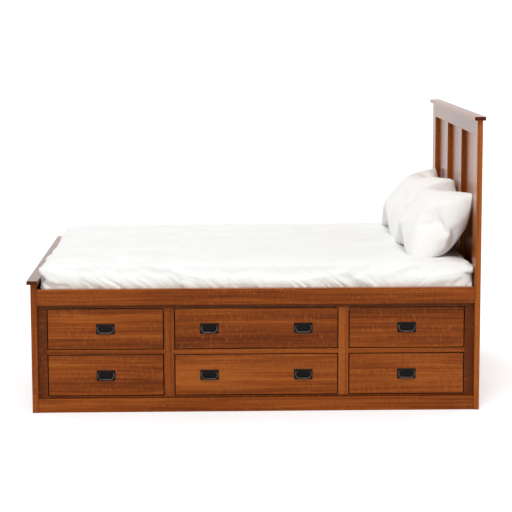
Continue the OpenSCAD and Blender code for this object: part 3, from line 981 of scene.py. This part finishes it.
def tuck_duvet(piece):
    """Fine slanted tucks above the rails, and faint swells and crumples on top.

    Leaves the attributes "tuck" and "tuck_place" for the small creases of the material, and for its
    painted light on the low band and painted shade in the crease valleys.
    """
    normals = [vert.normal.copy() for vert in piece.data.vertices]
    weights, spots = [], []
    for vert, normal in zip(piece.data.vertices, normals):
        place = vert.co.copy()
        ends = abs(normal.x) > abs(normal.y)
        run = place.y if ends else place.x
        above = max(0.0, place.z - RAIL_TOP)
        wander = relief(Vector((run, 3.0, 0)), 0.3, 2.0)
        slant = GATHER_SLANT_FOOT - 0.5 * max(0.0, run - 0.3)
        if run > GATHER_TURN:
            slant = GATHER_SLANT_HEAD
        slanted = Vector((run + (slant + 0.35 * wander) * above, above, 5.0 if ends else 0.0))
        upright = 1 - min(1.0, abs(normal.z)) ** 2
        weights.append(math.exp(-(above / 0.062) ** 2) * upright)
        spots.extend(slanted)
        tuck = ridge(Vector((slanted.x, 0.3 * above, slanted.z)), 0.042, 7.0) - 0.55
        hang = math.exp(-above / 0.045) * upright
        soft = 0.6 + 0.4 * relief(Vector((run, 0, 0)), 0.16, 3.0)
        crumple = ridge(place, 0.10, 12.0) - 0.5
        patch = max(0.0, relief(place, 0.35, 6.0) + 0.25)
        swell = 6.0 * relief(place, 0.28, 9.0) * max(0.0, normal.z)
        under_pillow = (min(1.0, max(0.0, (place.x - PILLOW_FRONT) / 0.06))
                        * min(1.0, max(0.0, (PILLOW_END - abs(place.y)) / 0.06)))
        dent = PILLOW_DENT * (3 - 2 * under_pillow) * under_pillow ** 2 * max(0.0, normal.z)
        folds = MM * (7.0 * tuck * hang * soft + 2.4 * crumple * patch + swell)
        vert.co = place + normal * (folds - dent)
        wall = min(1.0, max(0.0, (abs(place.y) - 0.72) / 0.06))
        vert.co.y += math.copysign(SIDE_OUT, place.y) * wall
    piece.data.attributes.new("tuck", "FLOAT", "POINT").data.foreach_set("value", weights)
    piece.data.attributes.new("tuck_place", "FLOAT_VECTOR", "POINT").data.foreach_set("vector", spots)


def lay_duvet(piece, hem):
    """Settles the cloth, slightly blown up, over a block just inside the CAD duvet, hem held."""
    pinned = piece.vertex_groups.new(name="tucked_in")
    held = [vert.index for vert in piece.data.vertices if vert.co.z < hem + 0.012]
    pinned.add(held, 1.0, "REPLACE")
    core = rounded_slab(DUVET_LOW + Vector((14, 14, 0)) * MM,
                        DUVET_HIGH - Vector((14, 14, 22)) * MM, 0.05, 0.1)
    mesh = bpy.data.meshes.new("core")
    core.to_mesh(mesh)
    core.free()
    block = bpy.data.objects.new("core", mesh)
    scene.collection.objects.link(block)
    run_cloth(piece, 30, colliders=(block,), gravity=0.5, use_pressure=True,
              uniform_pressure_force=1.3, mass=0.35, tension_stiffness=18,
              compression_stiffness=12, shear_stiffness=5, bending_stiffness=0.5,
              air_damping=2.0, shrink_min=-0.032, vertex_group_mass="tucked_in")
    bpy.data.objects.remove(block)
    bpy.data.meshes.remove(mesh)
    piece.vertex_groups.clear()


def build_duvet():
    """Cloth settled by simulation, its lower sides drawn back towards where they began, then tucked."""
    bm = duvet_shell()
    for vert in bm.verts:
        wave = 3.5 * relief(vert.co, 0.19, 5.0) + 1.2 * relief(vert.co, 0.07, 8.0)
        vert.co += UP * wave * MM
    piece = add_piece("duvet_filled", bm, "bed", COTTON)
    laid = [vert.co.copy() for vert in piece.data.vertices]
    hem = min(place.z for place in laid)
    lay_duvet(piece, hem)
    for vert, place in zip(piece.data.vertices, laid):
        held = 0.75 * max(0.0, 1 - (place.z - hem) / 0.13)
        vert.co = vert.co.lerp(place, held)
    lift_duvet(piece)
    refine(piece)
    tuck_duvet(piece)
    lining = piece.modifiers.new("thickness", "SOLIDIFY")
    lining.thickness = DUVET_LINING
    lining.offset = -1
    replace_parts(piece, "duvet")


build_duvet()


# ---------------------------------------------------------------- stage, light and camera

FLOOR_HALF = 60.0
FLOOR_GLOW = 0.23
BACKDROP_LIGHT = 0.92
ROOM_LIGHT = 0.4
KEY_SUN = {"towards": (-0.14, -0.8, 1.3), "spread": 24, "power": 1.82}
FILL_SUN = {"towards": (0.8, -0.9, 0.35), "spread": 60, "power": 0.5}
LENS = 122.8
CAMERA_PLACE = Vector((-0.195, -8.959, 1.874))
CAMERA_TURN = math.radians(1.386)
CAMERA_DOWN = math.radians(7.896)
CAMERA_ROLL = math.radians(0.159)


def build_floor():
    """White paper. A glow seen by the camera alone takes it to white where no shadow falls."""
    bm = bmesh.new()
    bmesh.ops.create_grid(bm, x_segments=2, y_segments=2, size=FLOOR_HALF)
    mesh = bpy.data.meshes.new("floor")
    bm.to_mesh(mesh)
    bm.free()
    g = Graph("floor")
    rays = g.add("LightPath").outputs
    place = g.add("TexCoord").outputs["Object"]
    cloud = g.noise(place, 1.5, 2.0)
    paint = g.ramp(cloud, [(0.3, srgb(230, 231, 232)), (0.7, srgb(236, 237, 238))])
    diffuse = g.add("BsdfDiffuse", {"Color": paint})
    strength = g.maths("MULTIPLY", rays["Is Camera Ray"], FLOOR_GLOW)
    glow = g.add("Emission", {"Color": (1, 1, 1, 1), "Strength": strength})
    both = g.add("AddShader", {0: diffuse.outputs[0], 1: glow.outputs[0]})
    g.add("OutputMaterial", {"Surface": both.outputs[0]})
    mesh.materials.append(g.material)
    floor = bpy.data.objects.new("floor", mesh)
    floor.location.z = -0.2 * MM
    scene.collection.objects.link(floor)


def build_world():
    """White to the camera. What it lights sees a white backdrop behind the bed and a dimmer room."""
    world = bpy.data.worlds.new("studio")
    scene.world = world
    world.use_nodes = True
    tree = world.node_tree
    tree.nodes.clear()

    def add(kind, **inputs):
        made = tree.nodes.new("ShaderNode" + kind)
        for key, value in inputs.items():
            key = key.replace("_", " ")
            if isinstance(value, bpy.types.NodeSocket):
                tree.links.new(value, made.inputs[key])
            else:
                made.inputs[key].default_value = value
        return made

    rays = add("LightPath").outputs
    way = add("SeparateXYZ", Vector=add("TexCoord").outputs["Generated"]).outputs
    backdrop = add("MapRange", Value=way["Y"], From_Min=-0.4, From_Max=0.4, To_Min=ROOM_LIGHT,
                   To_Max=BACKDROP_LIGHT)
    seen = tree.nodes.new("ShaderNodeMath")
    seen.operation = "MAXIMUM"
    tree.links.new(rays["Is Camera Ray"], seen.inputs[0])
    tree.links.new(rays["Is Transmission Ray"], seen.inputs[1])
    strength = tree.nodes.new("ShaderNodeMix")
    tree.links.new(seen.outputs[0], strength.inputs[0])
    tree.links.new(backdrop.outputs[0], strength.inputs[2])
    strength.inputs[3].default_value = 1.0
    background = add("Background", Color=(1, 1, 1, 1), Strength=strength.outputs[0])
    add("OutputWorld", Surface=background.outputs[0])


def add_sun(name, towards, spread, power):
    """Even light from one side. The spread of the sun, in degrees, softens its shadows."""
    data = bpy.data.lights.new(name, "SUN")
    data.angle = math.radians(spread)
    data.energy = power
    lamp = bpy.data.objects.new(name, data)
    lamp.rotation_euler = (-Vector(towards)).to_track_quat("-Z", "Y").to_euler()
    scene.collection.objects.link(lamp)


def build_camera():
    """The photo's camera, fitted to points on the caps, posts, side rail and headboard stiles."""
    data = bpy.data.cameras.new("camera")
    data.lens = LENS
    data.sensor_width = 36
    data.clip_end = 200
    camera = bpy.data.objects.new("camera", data)
    look = Matrix.Rotation(-CAMERA_TURN, 4, "Z") @ Matrix.Rotation(math.pi / 2 - CAMERA_DOWN, 4, "X")
    camera.matrix_world = Matrix.Translation(CAMERA_PLACE) @ look @ Matrix.Rotation(-CAMERA_ROLL, 4, "Z")
    scene.collection.objects.link(camera)
    scene.camera = camera


build_floor()
build_world()
add_sun("key", **KEY_SUN)
add_sun("fill", **FILL_SUN)
build_camera()
scene.view_settings.view_transform = "Standard"
